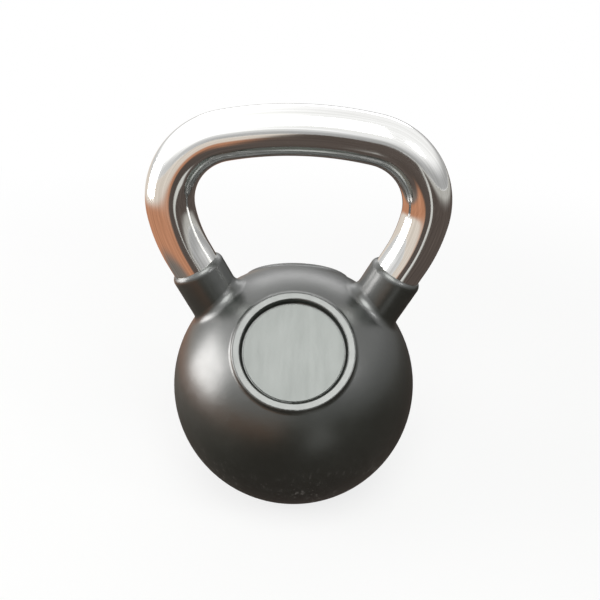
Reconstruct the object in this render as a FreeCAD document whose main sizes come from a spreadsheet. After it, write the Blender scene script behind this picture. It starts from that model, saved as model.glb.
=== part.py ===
"""Rubber-encased kettlebell with a chrome-plated bar handle.

A cast-iron ball carries a bent round bar whose two legs stand in blind sockets and are welded
round at the mouth. A moulded rubber jacket covers the ball, the welds and the roots of the legs,
and has a flat foot. A round recess with a beaded lip on each shoulder holds a blank badge disc
on an adhesive disc.

Frame: millimetres, +Z up, origin at the centre of the flat foot, X along the grip, front at -Y.
"""

import FreeCAD, Part
import math
import os

import Sketcher

App = FreeCAD
Vector = App.Vector
X_AXIS = Vector(1, 0, 0)
Z_AXIS = Vector(0, 0, 1)

# ---------------------------------------------------------------- driving dimensions, mm and deg
DIMENSIONS = {
    # ball and jacket
    "ball_diameter": 172,
    "centre_height": 75,  # ball centre above the floor
    "skin_thickness": 10,  # rubber over the iron
    "foot_thickness": 8,  # rubber under the iron
    "foot_edge_radius": 4,
    # handle bar, measured to its axis
    "grip_diameter": 32,
    "grip_height": 259.3,  # top of the bow above the floor
    "grip_bow_radius": 242,
    "grip_half_span": 48.2,  # from the middle to the shoulder bend
    "shoulder_radius": 44.3,
    "shoulder_sweep": 88.4,
    "side_radius": 101.5,
    "leg_tilt": 28,  # from the vertical
    "socket_depth": 32,  # of a leg in the iron, along the leg's axis
    "leg_end_chamfer": 1.5,
    # joint of leg and core
    "socket_clearance": 0.1,  # radial
    "weld_size": 5,
    # rubber collars
    "collar_wall": 2.5,
    "bare_leg": 9,  # straight leg that shows above a collar
    "collar_rim_radius": 5,
    "collar_land": 0.5,  # flat ring between the bar and the rounded rim
    "collar_fillet": 7,
    # badge recesses
    "badge_tilt": 47,  # of the badge's normal above the horizontal
    "lip_width": 5.4,  # from the recess's mouth to the lip's outside
    "lip_rise": 2.1,  # of the lip's flat top above the ball, at the lip's outside
    "lip_edge_radius": 1.5,
    "lip_fillet": 4,
    "mouth_edge_radius": 0.8,
    "recess_mouth": 69.2,  # diameter at the lip's top
    "recess_draft": 10,
    "recess_depth": 5.2,  # from the lip's top to the rubber floor
    "recess_corner_radius": 1.2,
    "skin_under_badge": 3.5,
    "badge_thickness": 0.8,
    "badge_edge_radius": 0.3,
    "adhesive_thickness": 0.2,
    "badge_gap": 0.2,  # between the badge and the rounded foot of the recess wall
}

doc = App.newDocument("kettlebell")
sheet = doc.addObject("Spreadsheet::Sheet", "Dimensions")
for row, (alias, number) in enumerate(DIMENSIONS.items(), start=1):
    sheet.set(f"A{row}", alias)
    sheet.set(f"B{row}", str(number))
    sheet.setAlias(f"B{row}", alias)
doc.recompute()


def size(alias):
    """The number in a named cell."""
    return float(sheet.get(alias))


def bind(thing, prop, formula):
    """Ties a property to the sheet. Names of cells in the formula are written plainly."""
    for alias in sorted(DIMENSIONS, key=len, reverse=True):
        formula = formula.replace(f"<{alias}>", f"Dimensions.{alias}")
    thing.setExpression(prop, formula)


# ---------------------------------------------------------------- derived places
BALL_RADIUS = size("ball_diameter") / 2
CORE_RADIUS = BALL_RADIUS - size("skin_thickness")
GRIP_RADIUS = size("grip_diameter") / 2
COLLAR_RADIUS = GRIP_RADIUS + size("collar_wall")
CENTRE = Vector(0, 0, size("centre_height"))
LIP_RADIUS = size("recess_mouth") / 2 + size("lip_width")
LIP_CREST = math.sqrt(BALL_RADIUS**2 - LIP_RADIUS**2) + size("lip_rise")
RECESS_FLOOR = LIP_CREST - size("recess_depth")
CORE_SEAT = RECESS_FLOOR - size("skin_under_badge")


def turned(point, radius, start, sweep):
    """Where a clockwise bend ends that starts at point with that heading below horizontal."""
    first, last = math.radians(start), math.radians(start + sweep)
    return Vector(
        point.x + radius * (math.sin(last) - math.sin(first)),
        0,
        point.z - radius * (math.cos(first) - math.cos(last)),
    )


BOW_ANGLE = math.degrees(math.asin(size("grip_half_span") / size("grip_bow_radius")))
SHOULDER_END_ANGLE = BOW_ANGLE + size("shoulder_sweep")
LEG_ANGLE = 90 + size("leg_tilt")
GRIP_TOP = Vector(0, 0, size("grip_height"))
SHOULDER_START = turned(GRIP_TOP, size("grip_bow_radius"), 0, BOW_ANGLE)
SIDE_START = turned(SHOULDER_START, size("shoulder_radius"), BOW_ANGLE, size("shoulder_sweep"))
LEG_START = turned(
    SIDE_START, size("side_radius"), SHOULDER_END_ANGLE, LEG_ANGLE - SHOULDER_END_ANGLE
)
LEG_DOWN = Vector(
    math.cos(math.radians(LEG_ANGLE)), 0, -math.sin(math.radians(LEG_ANGLE))
)
# where a leg's axis passes the ball's centre, and where it enters the iron
LEG_NEAREST = LEG_START + LEG_DOWN * (CENTRE - LEG_START).dot(LEG_DOWN)
LEG_ENTRY = LEG_NEAREST - LEG_DOWN * math.sqrt(CORE_RADIUS**2 - (LEG_NEAREST - CENTRE).Length ** 2)
LEG_END = LEG_ENTRY + LEG_DOWN * size("socket_depth")
RIM_CENTRE = LEG_START + LEG_DOWN * size("bare_leg")


def along(origin, direction):
    """A placement that carries the local Z axis to direction at origin."""
    return App.Placement(origin, App.Rotation(Z_AXIS, direction))


def badge_frame(side):
    """A placement at the ball's centre, Z out through the badge. side is -1 front, 1 rear."""
    tilt = math.radians(size("badge_tilt"))
    return along(CENTRE, Vector(0, side * math.cos(tilt), math.sin(tilt)))


# ---------------------------------------------------------------- helpers for the document
def origin_plane(body, role):
    """One of a body's own origin planes."""
    return next(f for f in body.Origin.OriginFeatures if f.Role == role)


def new_body(name):
    body = doc.addObject("PartDesign::Body", name)
    body.Label = name
    return body


def new_sketch(body, name, role):
    sketch = body.newObject("Sketcher::SketchObject", name)
    sketch.AttachmentSupport = (origin_plane(body, role), [""])
    sketch.MapMode = "FlatFace"
    return sketch


def constrain(sketch, formula, *constraint):
    """Adds a constraint, and ties its value to the sheet if there is a formula."""
    index = sketch.addConstraint(Sketcher.Constraint(*constraint))
    if formula:
        bind(sketch, f"Constraints[{index}]", formula)


ORIGIN, V_AXIS = -1, -2
START, END, MIDDLE = 1, 2, 3


def arc_between(centre, start, end):
    """A sketch arc that runs anticlockwise from start to end."""
    radius = (start - centre).Length
    angles = [math.atan2((p - centre).y, (p - centre).x) for p in (start, end)]
    return Part.ArcOfCircle(Part.Circle(centre, Z_AXIS, radius), *angles)


def revolved(body, sketch, name):
    """A full turn of a sketch about its own vertical axis."""
    feature = body.newObject("PartDesign::Revolution", name)
    feature.Profile = sketch
    feature.ReferenceAxis = (sketch, ["V_Axis"])
    feature.Angle = 360
    body.Tip = feature
    return feature


def boolean(kind, name, base, tools):
    """A Part::Cut of base by one tool, or a Part::MultiFuse of base and tools."""
    result = doc.addObject(kind, name)
    if kind == "Part::Cut":
        result.Base, result.Tool = base, tools
    else:
        result.Shapes = [base, *tools]
    result.Label = name
    return result


def mirrored(name, source, normal):
    result = doc.addObject("Part::Mirroring", name)
    result.Source = source
    result.Normal = normal
    result.Base = Vector(0, 0, 0)
    result.Label = name
    return result


def primitive(kind, name, placement, **formulas):
    result = doc.addObject(kind, name)
    for prop, formula in formulas.items():
        bind(result, prop, formula)
    result.Placement = placement
    result.Label = name
    return result


def rounded(name, base, radii_of_edge):
    """A Part::Fillet of every edge for which radii_of_edge returns a radius."""
    doc.recompute()
    result = doc.addObject("Part::Fillet", name)
    result.Base = base
    chosen = [(n, radii_of_edge(edge)) for n, edge in enumerate(base.Shape.Edges, start=1)]
    result.Edges = [(n, radius, radius) for n, radius in chosen if radius]
    result.Label = name
    return result


def axis_distance(point, origin, direction):
    """How far a point lies from the line through origin along the unit vector direction."""
    return (point - origin).cross(direction).Length


def samples(edge):
    """Five points of an edge, ends left out."""
    first, last = edge.FirstParameter, edge.LastParameter
    return [edge.valueAt(first + (last - first) * n / 6) for n in range(1, 6)]


def near(number, target):
    return abs(number - target) < 0.01


# radius of the recess cone at its floor, and how far its rounded foot reaches in from there
RECESS_FOOT_RADIUS = "<recess_mouth> / 2 - <recess_depth> * tan(<recess_draft> * 1deg)"
RECESS_FOOT_REACH = "<recess_corner_radius> / tan(45deg + <recess_draft> * 0.5deg)"

SEAM_TURN = 45  # keeps a ball's seam off the collars and the badges


def ball_body(name, radius_formula, radius, bottom_formula, bottom):
    """A ball about the common centre, cut flat below at a height."""
    body = new_body(name)
    sketch = new_sketch(body, name + "_profile", "XZ_Plane")
    centre = Vector(0, CENTRE.z, 0)
    corner = Vector(math.sqrt(radius**2 - (CENTRE.z - bottom) ** 2), bottom, 0)
    pole = Vector(0, CENTRE.z + radius, 0)
    foot = Vector(0, bottom, 0)
    sketch.addGeometry(arc_between(centre, corner, pole))
    sketch.addGeometry(Part.LineSegment(pole, foot))
    sketch.addGeometry(Part.LineSegment(foot, corner))
    constrain(sketch, None, "PointOnObject", 0, MIDDLE, V_AXIS)
    constrain(sketch, None, "Coincident", 0, END, 1, START)
    constrain(sketch, None, "Coincident", 1, END, 2, START)
    constrain(sketch, None, "Coincident", 2, END, 0, START)
    constrain(sketch, None, "PointOnObject", 1, START, V_AXIS)
    constrain(sketch, None, "Vertical", 1)
    constrain(sketch, None, "Horizontal", 2)
    constrain(sketch, radius_formula, "Radius", 0, radius)
    constrain(sketch, "<centre_height>", "DistanceY", ORIGIN, START, 0, MIDDLE, CENTRE.z)
    constrain(sketch, bottom_formula, "DistanceY", ORIGIN, START, 1, END, bottom)
    revolved(body, sketch, name + "_ball")
    body.Placement = App.Placement(Vector(), App.Rotation(Z_AXIS, SEAM_TURN))
    return body


# ---------------------------------------------------------------- handle: one bent, plated bar
def make_handle():
    body = new_body("handle")
    path = new_sketch(body, "bar_path", "XZ_Plane")
    flat = lambda p: Vector(p.x, p.z, 0)
    heading = lambda angle: Vector(math.sin(math.radians(angle)), math.cos(math.radians(angle)), 0)
    bends = [
        (GRIP_TOP, SHOULDER_START, size("grip_bow_radius"), 0),
        (SHOULDER_START, SIDE_START, size("shoulder_radius"), BOW_ANGLE),
        (SIDE_START, LEG_START, size("side_radius"), SHOULDER_END_ANGLE),
    ]
    for first, last, radius, angle in bends:
        path.addGeometry(
            arc_between(flat(first) - heading(angle) * radius, flat(last), flat(first))
        )
    path.addGeometry(Part.LineSegment(flat(LEG_START), flat(LEG_END)))
    path.addGeometry(Part.Circle(flat(CENTRE), Z_AXIS, CORE_RADIUS), True)  # the iron's outline
    path.addGeometry(Part.Point(flat(LEG_ENTRY)), True)
    # a clockwise run: each arc's END is where the bar enters it, and its START where it leaves
    constrain(path, None, "PointOnObject", 0, END, V_AXIS)
    constrain(path, None, "PointOnObject", 0, MIDDLE, V_AXIS)
    constrain(path, None, "Tangent", 0, START, 1, END)
    constrain(path, None, "Tangent", 1, START, 2, END)
    constrain(path, None, "Tangent", 2, START, 3, START)
    constrain(path, "<grip_bow_radius>", "Radius", 0, size("grip_bow_radius"))
    constrain(path, "<shoulder_radius>", "Radius", 1, size("shoulder_radius"))
    constrain(path, "<side_radius>", "Radius", 2, size("side_radius"))
    constrain(path, "<grip_height>", "DistanceY", ORIGIN, START, 0, END, GRIP_TOP.z)
    constrain(
        path, "<grip_half_span>", "DistanceX", ORIGIN, START, 0, START, size("grip_half_span")
    )
    constrain(
        path, "<shoulder_sweep> * 1deg", "Angle", 1, math.radians(size("shoulder_sweep"))
    )
    constrain(
        path,
        "(90 - <leg_tilt>) * 1deg",
        "Angle",
        ORIGIN,
        START,
        3,
        END,
        math.radians(90 - size("leg_tilt")),
    )
    constrain(path, None, "PointOnObject", 4, MIDDLE, V_AXIS)
    constrain(path, "<centre_height>", "DistanceY", ORIGIN, START, 4, MIDDLE, CENTRE.z)
    constrain(path, "<ball_diameter> / 2 - <skin_thickness>", "Radius", 4, CORE_RADIUS)
    constrain(path, None, "PointOnObject", 5, START, 3)
    constrain(path, None, "PointOnObject", 5, START, 4)
    constrain(path, "<socket_depth>", "Distance", 5, START, 3, END, size("socket_depth"))

    section = new_sketch(body, "bar_section", "YZ_Plane")
    section.addGeometry(Part.Circle(Vector(0, GRIP_TOP.z, 0), Z_AXIS, GRIP_RADIUS))
    constrain(section, None, "PointOnObject", 0, MIDDLE, V_AXIS)
    constrain(section, "<grip_height>", "DistanceY", ORIGIN, START, 0, MIDDLE, GRIP_TOP.z)
    constrain(section, "<grip_diameter>", "Diameter", 0, 2 * GRIP_RADIUS)

    half = body.newObject("PartDesign::AdditivePipe", "half_bar")
    half.Profile = section
    half.Spine = path
    body.Tip = half
    whole = body.newObject("PartDesign::Mirrored", "whole_bar")
    whole.Originals = [half]
    whole.MirrorPlane = (origin_plane(body, "YZ_Plane"), [""])
    body.Tip = whole
    doc.recompute()

    ends = [
        f"Edge{n}"
        for n, edge in enumerate(whole.Shape.Edges, start=1)
        if isinstance(edge.Curve, Part.Circle)
        and near(edge.Curve.Center.z, LEG_END.z)
        and near(edge.Curve.Radius, GRIP_RADIUS)
    ]
    chamfer = body.newObject("PartDesign::Chamfer", "leg_ends")
    chamfer.Base = (whole, ends)
    bind(chamfer, "Size", "<leg_end_chamfer>")
    body.Tip = chamfer
    return body


# ---------------------------------------------------------------- core: cast iron, with sockets
def make_core_blank():
    """The iron ball with a flat seat behind each badge, before its sockets are drilled."""
    ball = ball_body(
        "core_ball",
        "<ball_diameter> / 2 - <skin_thickness>",
        CORE_RADIUS,
        "<foot_thickness>",
        size("foot_thickness"),
    )
    seats = []
    for side, name in ((-1, "front_seat_cut"), (1, "rear_seat_cut")):
        frame = badge_frame(side)
        frame.Base = frame.multVec(Vector(0, 0, CORE_SEAT))
        seats.append(
            primitive(
                "Part::Cylinder",
                name,
                frame,
                Radius="<ball_diameter> / 2",
                Height="<ball_diameter> / 2",
            )
        )
    cutters = boolean("Part::MultiFuse", "seat_cuts", seats[0], seats[1:])
    return boolean("Part::Cut", "core_blank", ball, cutters)


def make_core(blank):
    """The blank with a blind socket for each leg, running out past its surface."""
    socket = primitive(
        "Part::Cylinder",
        "right_socket",
        along(LEG_END, LEG_DOWN * -1),
        Radius="<grip_diameter> / 2 + <socket_clearance>",
        Height="<ball_diameter> / 2",
    )
    pair = boolean(
        "Part::MultiFuse", "sockets", socket, [mirrored("left_socket", socket, X_AXIS)]
    )
    return boolean("Part::Cut", "core", blank, pair)


# ---------------------------------------------------------------- welds: a ring at each leg
def make_welds(blank):
    """The fillet weld between a leg and the iron round it, as the metal that was added."""
    leg = primitive(
        "Part::Cylinder",
        "weld_leg",
        along(LEG_END, LEG_DOWN * -1),
        Radius="<grip_diameter> / 2",
        Height="<ball_diameter> / 2",
    )
    joined = boolean("Part::MultiFuse", "weld_parents", blank, [leg])
    doc.recompute()

    def on_joint(edge):
        return all(
            near(axis_distance(p, LEG_END, LEG_DOWN), GRIP_RADIUS)
            and near((p - CENTRE).Length, CORE_RADIUS)
            for p in samples(edge)
        )

    bevelled = doc.addObject("Part::Chamfer", "weld_bevel")
    bevelled.Base = joined
    bevelled.Edges = [
        (n, size("weld_size"), size("weld_size"))
        for n, edge in enumerate(joined.Shape.Edges, start=1)
        if on_joint(edge)
    ]
    right = boolean("Part::Cut", "right_weld", bevelled, joined)
    return right, mirrored("left_weld", right, X_AXIS)


# ---------------------------------------------------------------- jacket: one rubber moulding
def make_collar_form():
    """A collar's outside, about the leg's axis: local Z points up the leg, 0 at the rim."""
    body = new_body("right_collar_form")
    sketch = new_sketch(body, "collar_profile", "XZ_Plane")
    rim_radius = size("collar_rim_radius")
    land_edge = GRIP_RADIUS + size("collar_land")
    inset = COLLAR_RADIUS - land_edge
    drop = math.sqrt(rim_radius**2 - (rim_radius - inset) ** 2)
    length = (LEG_END - RIM_CENTRE).Length
    top = Vector(0, 0, 0)
    land = Vector(land_edge, 0, 0)
    shoulder = Vector(COLLAR_RADIUS, -drop, 0)
    low = Vector(COLLAR_RADIUS, -length, 0)
    bottom = Vector(0, -length, 0)
    sketch.addGeometry(Part.LineSegment(top, land))
    sketch.addGeometry(
        arc_between(Vector(COLLAR_RADIUS - rim_radius, -drop, 0), shoulder, land)
    )
    sketch.addGeometry(Part.LineSegment(shoulder, low))
    sketch.addGeometry(Part.LineSegment(low, bottom))
    sketch.addGeometry(Part.LineSegment(bottom, top))
    constrain(sketch, None, "Coincident", 0, START, ORIGIN, START)
    constrain(sketch, None, "Horizontal", 0)
    constrain(sketch, None, "Coincident", 0, END, 1, END)
    constrain(sketch, None, "Tangent", 1, START, 2, START)
    constrain(sketch, None, "Coincident", 2, END, 3, START)
    constrain(sketch, None, "Vertical", 2)
    constrain(sketch, None, "Horizontal", 3)
    constrain(sketch, None, "Coincident", 3, END, 4, START)
    constrain(sketch, None, "Coincident", 4, END, 0, START)
    constrain(sketch, None, "Vertical", 4)
    constrain(
        sketch,
        "<grip_diameter> / 2 + <collar_land>",
        "DistanceX",
        ORIGIN,
        START,
        0,
        END,
        land_edge,
    )
    constrain(sketch, "<collar_rim_radius>", "Radius", 1, rim_radius)
    constrain(
        sketch,
        "<grip_diameter> / 2 + <collar_wall>",
        "DistanceX",
        ORIGIN,
        START,
        2,
        END,
        COLLAR_RADIUS,
    )
    constrain(sketch, None, "DistanceY", 4, START, 4, END, length)
    revolved(body, sketch, "collar_turning")
    body.Placement = along(RIM_CENTRE, LEG_DOWN * -1)
    return body


def foot_radius_of(side):
    """Picks the edge of a recess cone that lies on the recess floor."""
    axis = badge_frame(side).Rotation.multVec(Z_AXIS)

    def radius(edge):
        on_floor = all(near((p - CENTRE).dot(axis), RECESS_FLOOR) for p in samples(edge))
        return size("recess_corner_radius") if on_floor else None

    return radius


def make_lip_form(side, name):
    """The lip's outside as a rounded stub that stands out of the ball, down to the recess floor."""
    frame = badge_frame(side)
    frame.Base = frame.multVec(Vector(0, 0, RECESS_FLOOR))
    stub = primitive(
        "Part::Cylinder",
        name + "_lip_stub",
        frame,
        Radius="<recess_mouth> / 2 + <lip_width>",
        Height="<recess_depth>",
    )
    axis = badge_frame(side).Rotation.multVec(Z_AXIS)

    def edge_radius(edge):
        at_crest = all(near((p - CENTRE).dot(axis), LIP_CREST) for p in samples(edge))
        return size("lip_edge_radius") if at_crest else None

    return rounded(name + "_lip_form", stub, edge_radius)


def make_cap_cutter(side, name):
    """Takes off the cap of the ball that would stand above a lip's flat top."""
    frame = badge_frame(side)
    frame.Base = frame.multVec(Vector(0, 0, LIP_CREST - size("lip_edge_radius") / 2))
    return primitive(
        "Part::Cylinder",
        name + "_cap_cutter",
        frame,
        Radius="<recess_mouth> / 2 + <lip_width>",
        Height="<ball_diameter> / 2",
    )


def make_recess_form(side, name):
    """The recess as a tapered plug with a rounded foot."""
    frame = badge_frame(side)
    frame.Base = frame.multVec(Vector(0, 0, RECESS_FLOOR))
    cone = primitive(
        "Part::Cone",
        name + "_recess_cone",
        frame,
        Radius1=RECESS_FOOT_RADIUS,
        Radius2="<recess_mouth> / 2",
        Height="<recess_depth>",
    )
    return rounded(name + "_recess_form", cone, foot_radius_of(side))


def make_jacket(blank, handle, welds):
    whole_ball = ball_body("jacket_ball", "<ball_diameter> / 2", BALL_RADIUS, "0", 0)
    sides = ((-1, "front"), (1, "rear"))
    caps = [make_cap_cutter(side, name) for side, name in sides]
    cap_cuts = boolean("Part::MultiFuse", "cap_cuts", caps[0], caps[1:])
    ball = boolean("Part::Cut", "capless_ball", whole_ball, cap_cuts)
    collar = make_collar_form()
    forms = [collar, mirrored("left_collar_form", collar, X_AXIS)]
    forms += [make_lip_form(side, name) for side, name in sides]
    recesses = [make_recess_form(side, name) for side, name in sides]
    outside = boolean("Part::MultiFuse", "jacket_form", ball, forms)
    badge_axes = [badge_frame(side).Rotation.multVec(Z_AXIS) for side, _ in sides]
    left_end = Vector(-LEG_END.x, 0, LEG_END.z)
    left_down = Vector(-LEG_DOWN.x, 0, LEG_DOWN.z)

    def fillet_radius(edge):
        points = samples(edge)
        if all(near(p.z, 0) for p in points):
            return size("foot_edge_radius")
        if not all(near((p - CENTRE).Length, BALL_RADIUS) for p in points):
            return None
        for end, down in ((LEG_END, LEG_DOWN), (left_end, left_down)):
            if all(near(axis_distance(p, end, down), COLLAR_RADIUS) for p in points):
                return size("collar_fillet")
        for axis in badge_axes:
            on_lip = all(near(axis_distance(p, CENTRE, axis), LIP_RADIUS) for p in points)
            if on_lip and (points[0] - CENTRE).dot(axis) > 0:
                return size("lip_fillet")
        return None

    skin = rounded("jacket_outside", outside, fillet_radius)
    hollow = boolean(
        "Part::MultiFuse", "jacket_hollow", blank, [handle, *welds, *recesses]
    )
    sharp = boolean("Part::Cut", "sharp_jacket", skin, hollow)

    def mouth_radius(edge):
        for axis in badge_axes:
            points = samples(edge)
            at_crest = all(near((p - CENTRE).dot(axis), LIP_CREST) for p in points)
            at_mouth = all(
                near(axis_distance(p, CENTRE, axis), size("recess_mouth") / 2) for p in points
            )
            if at_crest and at_mouth:
                return size("mouth_edge_radius")
        return None

    return rounded("jacket", sharp, mouth_radius)


# ---------------------------------------------------------------- badges and their adhesive
def make_badge(side, name):
    """A blank disc and the adhesive disc that holds it to the recess floor."""
    adhesive_frame = badge_frame(side)
    adhesive_frame.Base = adhesive_frame.multVec(Vector(0, 0, RECESS_FLOOR))
    disc_frame = badge_frame(side)
    disc_frame.Base = disc_frame.multVec(
        Vector(0, 0, RECESS_FLOOR + size("adhesive_thickness"))
    )
    radius = f"{RECESS_FOOT_RADIUS} - {RECESS_FOOT_REACH} - <badge_gap>"
    adhesive = primitive(
        "Part::Cylinder",
        name + "_adhesive",
        adhesive_frame,
        Radius=radius + " - <badge_gap>",
        Height="<adhesive_thickness>",
    )
    disc = primitive(
        "Part::Cylinder",
        name + "_badge_blank",
        disc_frame,
        Radius=radius,
        Height="<badge_thickness>",
    )
    face_height = RECESS_FLOOR + size("adhesive_thickness") + size("badge_thickness")
    axis = badge_frame(side).Rotation.multVec(Z_AXIS)

    def edge_radius(edge):
        at_face = all(near((p - CENTRE).dot(axis), face_height) for p in samples(edge))
        return size("badge_edge_radius") if at_face else None

    return rounded(name + "_badge", disc, edge_radius), adhesive


# ---------------------------------------------------------------- build, check and write
handle = make_handle()
core_blank = make_core_blank()
core = make_core(core_blank)
right_weld, left_weld = make_welds(core_blank)
jacket = make_jacket(core_blank, handle, [right_weld, left_weld])
front_badge, front_adhesive = make_badge(-1, "front")
rear_badge, rear_adhesive = make_badge(1, "rear")
doc.recompute()

for thing in doc.Objects:
    if {"Invalid", "Error"} & set(thing.State):
        raise RuntimeError(f"{thing.Label} failed: {thing.State}")

SUB_PARTS = [
    handle,
    core,
    right_weld,
    left_weld,
    jacket,
    front_badge,
    rear_badge,
    front_adhesive,
    rear_adhesive,
]
for part in SUB_PARTS:
    shape = part.Shape
    if shape.isNull() or not shape.isValid() or not shape.Solids:
        raise RuntimeError(f"{part.Label} is null or not valid")

os.makedirs("parts", exist_ok=True)
for part in SUB_PARTS:
    part.Shape.exportStep(f"parts/{part.Label}.step")
    box = part.Shape.BoundBox
    print(
        f"{part.Label}: {len(part.Shape.Solids)} solid, {part.Shape.Volume:.1f} mm3, "
        f"x {box.XMin:.2f}..{box.XMax:.2f} y {box.YMin:.2f}..{box.YMax:.2f} "
        f"z {box.ZMin:.2f}..{box.ZMax:.2f}"
    )
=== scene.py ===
"""The looks of a rubber-covered kettlebell with a chrome bar handle, built round its CAD frame.

Metres, +Z up, origin at the centre of the foot, X along the grip, front at -Y.
"""

import math

import bmesh
import bpy
from mathutils import Matrix, Vector


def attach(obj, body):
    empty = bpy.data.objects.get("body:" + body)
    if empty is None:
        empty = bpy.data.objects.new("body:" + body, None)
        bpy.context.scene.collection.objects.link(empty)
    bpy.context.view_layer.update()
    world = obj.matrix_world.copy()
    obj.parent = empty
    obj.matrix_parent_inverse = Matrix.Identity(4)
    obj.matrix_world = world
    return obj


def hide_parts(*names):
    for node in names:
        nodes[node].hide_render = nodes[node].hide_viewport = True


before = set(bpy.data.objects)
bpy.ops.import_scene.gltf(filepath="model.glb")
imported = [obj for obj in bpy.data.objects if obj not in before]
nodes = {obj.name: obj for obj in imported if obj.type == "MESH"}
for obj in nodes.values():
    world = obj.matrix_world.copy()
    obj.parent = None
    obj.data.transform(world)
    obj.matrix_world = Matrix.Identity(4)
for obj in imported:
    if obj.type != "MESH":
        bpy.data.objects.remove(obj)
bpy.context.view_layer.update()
MM = 0.001


# ------------------------------------------------------------------------------------------
# Core: the iron ball that gives the weight. It is cast with a flat bottom, shot-blasted and
# drilled with a blind socket for each leg of the handle. The rubber hides it.
class Value:
    """A socket's value in a recipe. Python arithmetic on it adds Math nodes."""

    def __init__(self, recipe, socket):
        self.recipe = recipe
        self.socket = socket

    def math(self, operation, *others):
        return self.recipe.node("Math", {"operation": operation}, self, *others)

    def __add__(self, other):
        return self.math("ADD", other)

    def __mul__(self, other):
        return self.math("MULTIPLY", other)

    __radd__ = __add__
    __rmul__ = __mul__

    def between(self, low, high, first=0.0, last=1.0):
        """Eases from first to last while the value goes from low to high."""
        settings = {"interpolation_type": "SMOOTHSTEP"}
        return self.recipe.node("MapRange", settings, self, low, high, first, last)


class Recipe:
    """The nodes of a material or of the world."""

    def __init__(self, owner):
        owner.use_nodes = True
        self.tree = owner.node_tree

    def node(self, kind, settings, *values, out=0, **named):
        """Adds a node: settings first, then its inputs by place or by name. Gives one output."""
        node = self.tree.nodes.new("ShaderNode" + kind)
        for key, setting in settings.items():
            setattr(node, key, setting)
        for key, value in [*enumerate(values), *named.items()]:
            key = key.replace("_", " ") if isinstance(key, str) else key
            self.join(node.inputs[key], value)
        return Value(self, node.outputs[out])

    def join(self, entry, value):
        if isinstance(value, Value):
            self.tree.links.new(value.socket, entry)
        elif isinstance(value, tuple) and entry.type == "RGBA":
            entry.default_value = (*value, 1.0)
        else:
            entry.default_value = value

    def place(self, kind="Object", stretch=(1, 1, 1)):
        where = self.node("TexCoord", {}, out=kind)
        return self.node("Mapping", {}, where, Scale=stretch)

    def along(self, where, axis):
        """One of X, Y and Z of a place or a direction."""
        return self.node("SeparateXYZ", {}, where, out=axis)

    def noise(self, where, scale, detail=3.0):
        return self.node("TexNoise", {}, Vector=where, Scale=scale, Detail=detail)

    def blend(self, amount, first, second):
        """A colour that goes from first to second as amount goes from 0 to 1."""
        node = self.tree.nodes.new("ShaderNodeMix")
        node.data_type = "RGBA"
        for entry, value in zip((0, 6, 7), (amount, first, second)):
            self.join(node.inputs[entry], value)
        return Value(self, node.outputs[2])

    def shader(self, amount, first, second):
        """A shader that goes from first to second as amount goes from 0 to 1."""
        node = self.tree.nodes.new("ShaderNodeMixShader")
        for entry, value in zip(node.inputs, (amount, first, second)):
            self.join(entry, value)
        return Value(self, node.outputs[0])

    def end(self, shader):
        """Makes a shader the surface of the material or the world."""
        output = next(node for node in self.tree.nodes if node.type.startswith("OUTPUT"))
        self.tree.links.new(shader.socket, output.inputs[0])


class Finish(Recipe):
    """A material whose surface is one Principled BSDF."""

    def __init__(self, name, **constants):
        self.material = bpy.data.materials.new(name)
        super().__init__(self.material)
        self.surface = self.tree.nodes["Principled BSDF"]
        self.set(**constants)

    def set(self, **values):
        """Sets the Principled BSDF's sockets, such as Base_Color, to numbers or to links."""
        for key, value in values.items():
            self.join(self.surface.inputs[key.replace("_", " ")], value)

    def bump(self, height, depth):
        """Raises the surface by height times depth, in metres."""
        self.set(Normal=self.node("Bump", {}, Strength=1.0, Distance=depth, Height=height))


def coat_node(name, finish):
    """Gives a CAD node its material."""
    mesh = nodes[name].data
    mesh.materials.clear()
    mesh.materials.append(finish.material)


def make_cast_iron():
    iron = Finish("cast_iron_as_blasted", Metallic=1.0, Roughness=0.62)
    where = iron.place()
    grit = iron.noise(where, 900.0)
    clouds = iron.noise(where, 28.0)
    iron.set(Base_Color=iron.blend(clouds, (0.07, 0.068, 0.066), (0.16, 0.155, 0.15)))
    iron.set(Roughness=grit * 0.3 + 0.5)
    iron.bump(grit + clouds, 0.3 * MM)
    return iron


coat_node("core", make_cast_iron())

# ------------------------------------------------------------------------------------------
# Handle: one round steel bar, bent cold and chrome-plated. The grip is a shallow bow, the
# shoulders turn tightly down, and the legs draw in to stand in the core's sockets.
GRIP_RADIUS = 16 * MM
GRIP_TOP = 259.3 * MM  # height of the bar's axis in the middle of the grip
BOW_RADIUS = 242.0 * MM
BOW_REACH = 48.2 * MM  # from the middle of the grip to where the shoulder starts
SHOULDER_RADIUS = 44.3 * MM
SHOULDER_TURN = math.radians(88.4)
SIDE_BEND_RADIUS = 101.5 * MM
LEG_TILT = math.radians(28)  # of a leg from the vertical
LEG_FOOT = 96.68 * MM  # lowest point of a leg's end
LEG_END_CHAMFER = 1.5 * MM
BAR_SIDES = 128
BAR_STEP = 1.5 * MM  # between the rings of the bar


def follow(point, heading, radius, turn):
    """Where a downward bend ends, from a point and a heading below the horizontal."""
    last = heading + turn
    across = radius * (math.sin(last) - math.sin(heading))
    down = radius * (math.cos(heading) - math.cos(last))
    return point + Vector((across, 0, -down)), last


def direction(heading):
    return Vector((math.cos(heading), 0, -math.sin(heading)))


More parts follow.
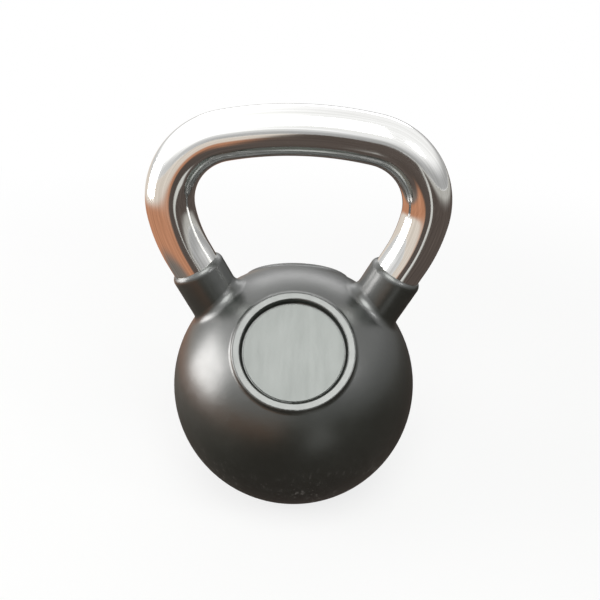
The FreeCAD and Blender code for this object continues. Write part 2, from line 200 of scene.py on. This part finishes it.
def bar_runs():
    """The runs of half the bar: start, heading there, radius (none for the leg) and length."""
    point, heading = Vector((0, 0, GRIP_TOP)), 0.0
    runs = []
    bow_turn = math.asin(BOW_REACH / BOW_RADIUS)
    bow, shoulder = (BOW_RADIUS, bow_turn), (SHOULDER_RADIUS, SHOULDER_TURN)
    side_bend = (SIDE_BEND_RADIUS, math.pi / 2 + LEG_TILT - (bow_turn + SHOULDER_TURN))
    for radius, turn in (bow, shoulder, side_bend):
        runs.append((point, heading, radius, radius * turn))
        point, heading = follow(point, heading, radius, turn)
    drop = point.z - LEG_FOOT - GRIP_RADIUS * math.sin(LEG_TILT)
    runs.append((point, heading, None, drop / math.cos(LEG_TILT)))
    return runs


RUNS = bar_runs()
HALF_LENGTH = sum(run[3] for run in RUNS)


def bar_axis(distance):
    """The bar's axis and its heading, at a distance from the middle of the grip."""
    for start, heading, radius, length in RUNS:
        if distance <= length or radius is None:
            break
        distance -= length
    if radius is None:
        return start + direction(heading) * distance, heading
    return follow(start, heading, radius, distance / radius)


def stand_for(name, bm, finish, slot, *replaced):
    """Makes an object of a finished bmesh, which stands for CAD nodes and rides on the body."""
    mesh = bpy.data.meshes.new(name)
    bm.to_mesh(mesh)
    bm.free()
    mesh.shade_smooth()
    mesh.materials.append(finish.material)
    piece = bpy.data.objects.new(name, mesh)
    bpy.context.scene.collection.objects.link(piece)
    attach(piece, "root")
    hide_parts(*replaced)
    return piece


def make_bar():
    """A flat grid, u along the bar and v round it, wrapped round the bar's axis."""
    bm = bmesh.new()
    bm.loops.layers.uv.new("bar")
    rings = 2 * math.ceil(HALF_LENGTH / BAR_STEP)
    bmesh.ops.create_grid(bm, x_segments=rings, y_segments=BAR_SIDES, size=0.5, calc_uvs=True)
    for vert in bm.verts:
        along, around = 2 * vert.co.x * HALF_LENGTH, vert.co.y * math.tau
        radius = GRIP_RADIUS
        from_end = HALF_LENGTH - abs(along)
        if from_end < LEG_END_CHAMFER:
            radius -= LEG_END_CHAMFER - from_end
        point, heading = bar_axis(abs(along))
        outward = Vector((math.sin(heading), 0, math.cos(heading)))
        point += (outward * math.cos(around) + Vector((0, math.sin(around), 0))) * radius
        if along < 0:
            point.x = -point.x
        vert.co = point
    bmesh.ops.remove_doubles(bm, verts=bm.verts, dist=0.001 * MM)
    bmesh.ops.holes_fill(bm, edges=[e for e in bm.edges if e.is_boundary], sides=0)
    bmesh.ops.recalc_face_normals(bm, faces=bm.faces)
    return bm


def make_chrome():
    """Bright plate: rolling marks run along the bar, with a faint bloom of handling, and painted
    reflection as grey streaks in its colour along the bar.
    """
    chrome = Finish("chrome_plate", Metallic=1.0)
    drawn = chrome.noise(chrome.place("UV", (3.0, 40.0, 1.0)), 1.0, detail=2.0)
    haze = chrome.noise(chrome.place(), 22.0, detail=5.0)
    streaks = chrome.noise(chrome.place("UV", (5.0, 70.0, 1.0)), 1.0, detail=4.0).between(0.3, 0.7)
    # Painted reflection: the colour is streaked darker along the bar to stand for grey bands
    # mirrored in it.
    chrome.set(Base_Color=chrome.blend(streaks, (0.74, 0.74, 0.72), (0.90, 0.90, 0.89)))
    chrome.set(Roughness=haze.between(0.35, 0.75, 0.06, 0.12))
    chrome.bump(drawn, 0.05 * MM)
    return chrome


stand_for("bar_handle", make_bar(), make_chrome(), "chrome_plate", "handle")


# ------------------------------------------------------------------------------------------
# Welds: a bead of weld metal all round each leg where it enters the core, brushed clean
# before the rubber goes on.
def make_weld_metal():
    steel = Finish("weld_bead", Metallic=1.0, Base_Color=(0.32, 0.31, 0.30))
    where = steel.place()
    ripple = steel.node(
        "TexWave", {"bands_direction": "Z"}, Vector=where, Scale=160.0, Distortion=2.0
    )
    steel.set(Roughness=steel.noise(where, 300.0) * 0.3 + 0.35)
    steel.bump(ripple, 0.4 * MM)
    return steel


weld_metal = make_weld_metal()
for name in ("left_weld", "right_weld"):
    coat_node(name, weld_metal)

# ------------------------------------------------------------------------------------------
# Jacket: one black rubber moulding over the iron, with a collar round each leg, a flat foot,
# and a round recess with a raised lip on the front and on the rear shoulder.
def make_rubber():
    """Satin black, with a fine moulded grain, a faint bloom and a few pale scuffs low down."""
    rubber = Finish("moulded_black_rubber", IOR=1.6, Specular_IOR_Level=1.0)
    where = rubber.place()
    grain = rubber.noise(where, 700.0, detail=2.0)
    bloom = rubber.noise(where, 30.0, detail=4.0)
    mottle = rubber.noise(where, 160.0, detail=3.0)
    scratches = rubber.noise(rubber.place(stretch=(1, 1, 0.3)), 420.0, detail=2.0)
    low = rubber.along(where, "Z").between(70 * MM, 35 * MM)
    scuffed = scratches.between(0.60, 0.66) * bloom.between(0.45, 0.56) * low
    black = rubber.blend(bloom, (0.006, 0.008, 0.006), (0.013, 0.016, 0.012))
    rubber.set(Base_Color=rubber.blend(scuffed * 0.45, black, (0.16, 0.15, 0.14)))
    rubber.set(Roughness=bloom * 0.08 + mottle * 0.10 + 0.25)
    rubber.bump(grain * 0.5 + mottle, 0.06 * MM)
    return rubber


coat_node("jacket", make_rubber())


# ------------------------------------------------------------------------------------------
# Badges: a blank disc of matt grey film in each recess, on a disc of adhesive film.
def make_badge_film():
    """Grey film, a little cloudy, with faint upright streaks and a fine grain."""
    film = Finish("badge_film", IOR=1.6, Specular_IOR_Level=0.75)
    where = film.place()
    grain = film.noise(where, 1500.0, detail=2.0)
    cloud = film.noise(where, 60.0, detail=4.0)
    streaks = film.noise(film.place(stretch=(1, 0.15, 0.15)), 240.0, detail=3.0)
    film.set(Base_Color=film.blend(cloud, (0.050, 0.060, 0.053), (0.085, 0.098, 0.088)))
    film.set(Roughness=cloud * 0.10 + streaks * 0.12 + 0.24)
    film.bump(grain * 0.4 + streaks, 0.02 * MM)
    return film


def make_adhesive():
    glue = Finish("adhesive_film", Roughness=0.5)
    cloud = glue.noise(glue.place(), 120.0)
    glue.set(Base_Color=glue.blend(cloud, (0.55, 0.52, 0.42), (0.66, 0.64, 0.55)))
    return glue


badge_film, adhesive = make_badge_film(), make_adhesive()
for side in ("front", "rear"):
    coat_node(side + "_badge", badge_film)
    coat_node(side + "_adhesive", adhesive)


# ------------------------------------------------------------------------------------------
# Studio: a plain pale floor in a white room, with four soft boxes: one above the front, a
# broad one low at the left, a long narrow one behind and a small one at the right.
ROOM_MIDDLE = Vector((0, 0, 130 * MM))  # what the soft boxes face
FLOOR_HALF_SIDE = 6.0
BOARD_HALF_SIDE = 5.0
BOARD_HEIGHT = 0.2 * MM


def add_softbox(name, bearing, distance, size, radiance, colour=(1, 1, 1)):
    """A rectangular lamp. Its bearing is in degrees: from the front rightwards, and upwards."""
    turn, lift = map(math.radians, bearing)
    width, height = size
    level = math.cos(lift)
    away = Vector((math.sin(turn) * level, -math.cos(turn) * level, math.sin(lift)))
    lamp = bpy.data.lights.new(name, "AREA")
    lamp.shape = "RECTANGLE"
    lamp.size, lamp.size_y = width, height
    lamp.energy = radiance * math.pi * width * height
    lamp.color = colour
    box = bpy.data.objects.new(name, lamp)
    box.location = ROOM_MIDDLE + away * distance
    box.rotation_euler = away.to_track_quat("Z", "Y").to_euler()
    bpy.context.scene.collection.objects.link(box)


add_softbox("front_box", (5, 58), 1.3, (0.84, 0.86), 5.9, (0.97, 1.0, 0.965))
add_softbox("left_box", (-90, 7), 1.0, (0.70, 0.56), 7.5, (1.0, 0.985, 0.965))
add_softbox("rear_box", (178, 30), 1.3, (1.20, 0.36), 2.2)
add_softbox("right_box", (56, 33), 1.2, (0.26, 0.26), 9.0)


def lay_on_floor(name, half_side, height, finish):
    """A flat square that isn't part of the object."""
    mesh = bpy.data.meshes.new(name)
    bm = bmesh.new()
    bmesh.ops.create_grid(bm, x_segments=1, y_segments=1, size=half_side)
    bmesh.ops.translate(bm, verts=bm.verts, vec=(0, 0, height))
    bm.to_mesh(mesh)
    bm.free()
    mesh.materials.append(finish.material)
    sheet = bpy.data.objects.new(name, mesh)
    bpy.context.scene.collection.objects.link(sheet)
    return sheet


def make_floor_paint():
    """Pale paint that the eye and shiny things see as white, but for the object's shadow."""
    paint = Finish("pale_floor", Base_Color=(0.80, 0.80, 0.79), Roughness=0.9)
    paint.set(Specular_IOR_Level=0.0)
    eye = paint.node("LightPath", {}, out="Is Camera Ray")
    shine = paint.node("LightPath", {}, out="Is Glossy Ray")
    glow = paint.node("Emission", {}, Color=(1.0, 1.0, 1.0), Strength=1.0)
    lit = Value(paint, paint.surface.outputs[0])
    from_middle = paint.node("VectorMath", {"operation": "LENGTH"}, paint.place(), out="Value")
    white = from_middle.between(0.25, 0.9, 0.80, 1.0)  # no shadow reaches further out
    paint.end(paint.shader((eye + shine) * white, lit, glow))
    return paint


def make_board_paint():
    """Brown board in painted light: copper where the left box lights it, with painted shade near
    the ball and on the right.
    """
    board = Finish("brown_board")
    where = board.place()
    across, ahead = board.along(where, "X"), board.along(where, "Y")
    grain = board.noise(board.place(stretch=(1, 6, 1)), 3.0, detail=4.0)
    from_middle = board.node("VectorMath", {"operation": "LENGTH"}, where, out="Value")
    # Painted shade: dark wood where the left box's light doesn't fall, near the ball in its
    # painted shadow and on the right.
    shaded_wood = board.blend(grain, (0.05, 0.041, 0.036), (0.15, 0.120, 0.105))
    shaded_wood = board.blend(across.between(-0.08, -0.20), shaded_wood, (0.20, 0.175, 0.155))
    shaded_wood = board.blend(across.between(0.70, 1.80), shaded_wood, (0.50, 0.49, 0.46))  # pales far right
    # Painted light: the wood lit by the left box, in copper, paling far off.
    lit_copper = board.blend(grain, (0.40, 0.17, 0.09), (0.70, 0.35, 0.21))
    lit = board.blend(from_middle.between(0.60, 0.90), lit_copper, (0.80, 0.72, 0.64))  # and far off
    # Where the painted pool of the left box's light lies: on the left, outside the ball's painted
    # shadow.
    left_box_pool = across.between(-0.03, -0.10) * from_middle.between(0.26, 0.36)
    colour = board.blend(left_box_pool, shaded_wood, lit)
    slant = ahead * 0.4 + across  # near nought along a pale strip that runs out to the front
    strip = slant.between(-0.06, -0.04) * slant.between(0.06, 0.04)
    colour = board.blend(strip * ahead.between(-0.18, -0.24), colour, (0.70, 0.70, 0.67))
    board.end(board.node("Emission", {}, Color=colour, Strength=1.0))
    return board


lay_on_floor("floor", FLOOR_HALF_SIDE, 0.0, make_floor_paint())
# The board glows: a painted reflection of a lit wooden floor, seen only in what the chrome and the
# rubber mirror.
board = lay_on_floor("brown_board", BOARD_HALF_SIDE, BOARD_HEIGHT, make_board_paint())
board.visible_camera = False  # it only tints what the chrome and the rubber mirror
board.visible_diffuse = False
board.visible_transmission = False
board.visible_shadow = False


def make_world():
    """White to the eye. Shiny things see it darken low down and to the right."""
    world = bpy.data.worlds.new("studio")
    bpy.context.scene.world = world
    sky = Recipe(world)
    toward = sky.node("TexCoord", {}, out="Generated")
    height, across = sky.along(toward, "Z"), sky.along(toward, "X")
    level = height.between(0.05, 0.40, 0.45, 1.12)
    side = across.between(0.2, -0.9, 0.95, 1.6)
    room = sky.node("Background", {}, Color=(1.0, 1.0, 1.0), Strength=level * side)
    soft = sky.node("Background", {}, Color=(1.0, 1.0, 1.0), Strength=0.25)
    white = sky.node("Background", {}, Color=(1.0, 1.0, 1.0), Strength=1.0)
    eye = sky.node("LightPath", {}, out="Is Camera Ray")
    shine = sky.node("LightPath", {}, out="Is Glossy Ray")
    sky.end(sky.shader(eye, sky.shader(shine, soft, room), white))


make_world()

# ------------------------------------------------------------------------------------------
# Camera: above the front, a little over half a metre away, tipped slightly to one side.
CAMERA_PLACE = Vector((3.889, -474.04, 371.22)) * MM
CAMERA_AZIMUTH = math.radians(-0.125)  # of the way it looks, from +Y towards +X
CAMERA_DIP = math.radians(25.85)
CAMERA_ROLL = math.radians(1.667)
CAMERA_LENS = 45.753

camera = bpy.data.objects.new("camera", bpy.data.cameras.new("camera"))
camera.data.lens = CAMERA_LENS
camera.data.sensor_width = 36.0
camera.data.clip_start = 0.01
aim = Matrix.Rotation(-CAMERA_AZIMUTH, 4, "Z") @ Matrix.Rotation(math.pi / 2 - CAMERA_DIP, 4, "X")
camera.matrix_world = Matrix.Translation(CAMERA_PLACE) @ aim @ Matrix.Rotation(CAMERA_ROLL, 4, "Z")
bpy.context.scene.collection.objects.link(camera)
bpy.context.scene.camera = camera
bpy.context.scene.view_settings.view_transform = "Standard"
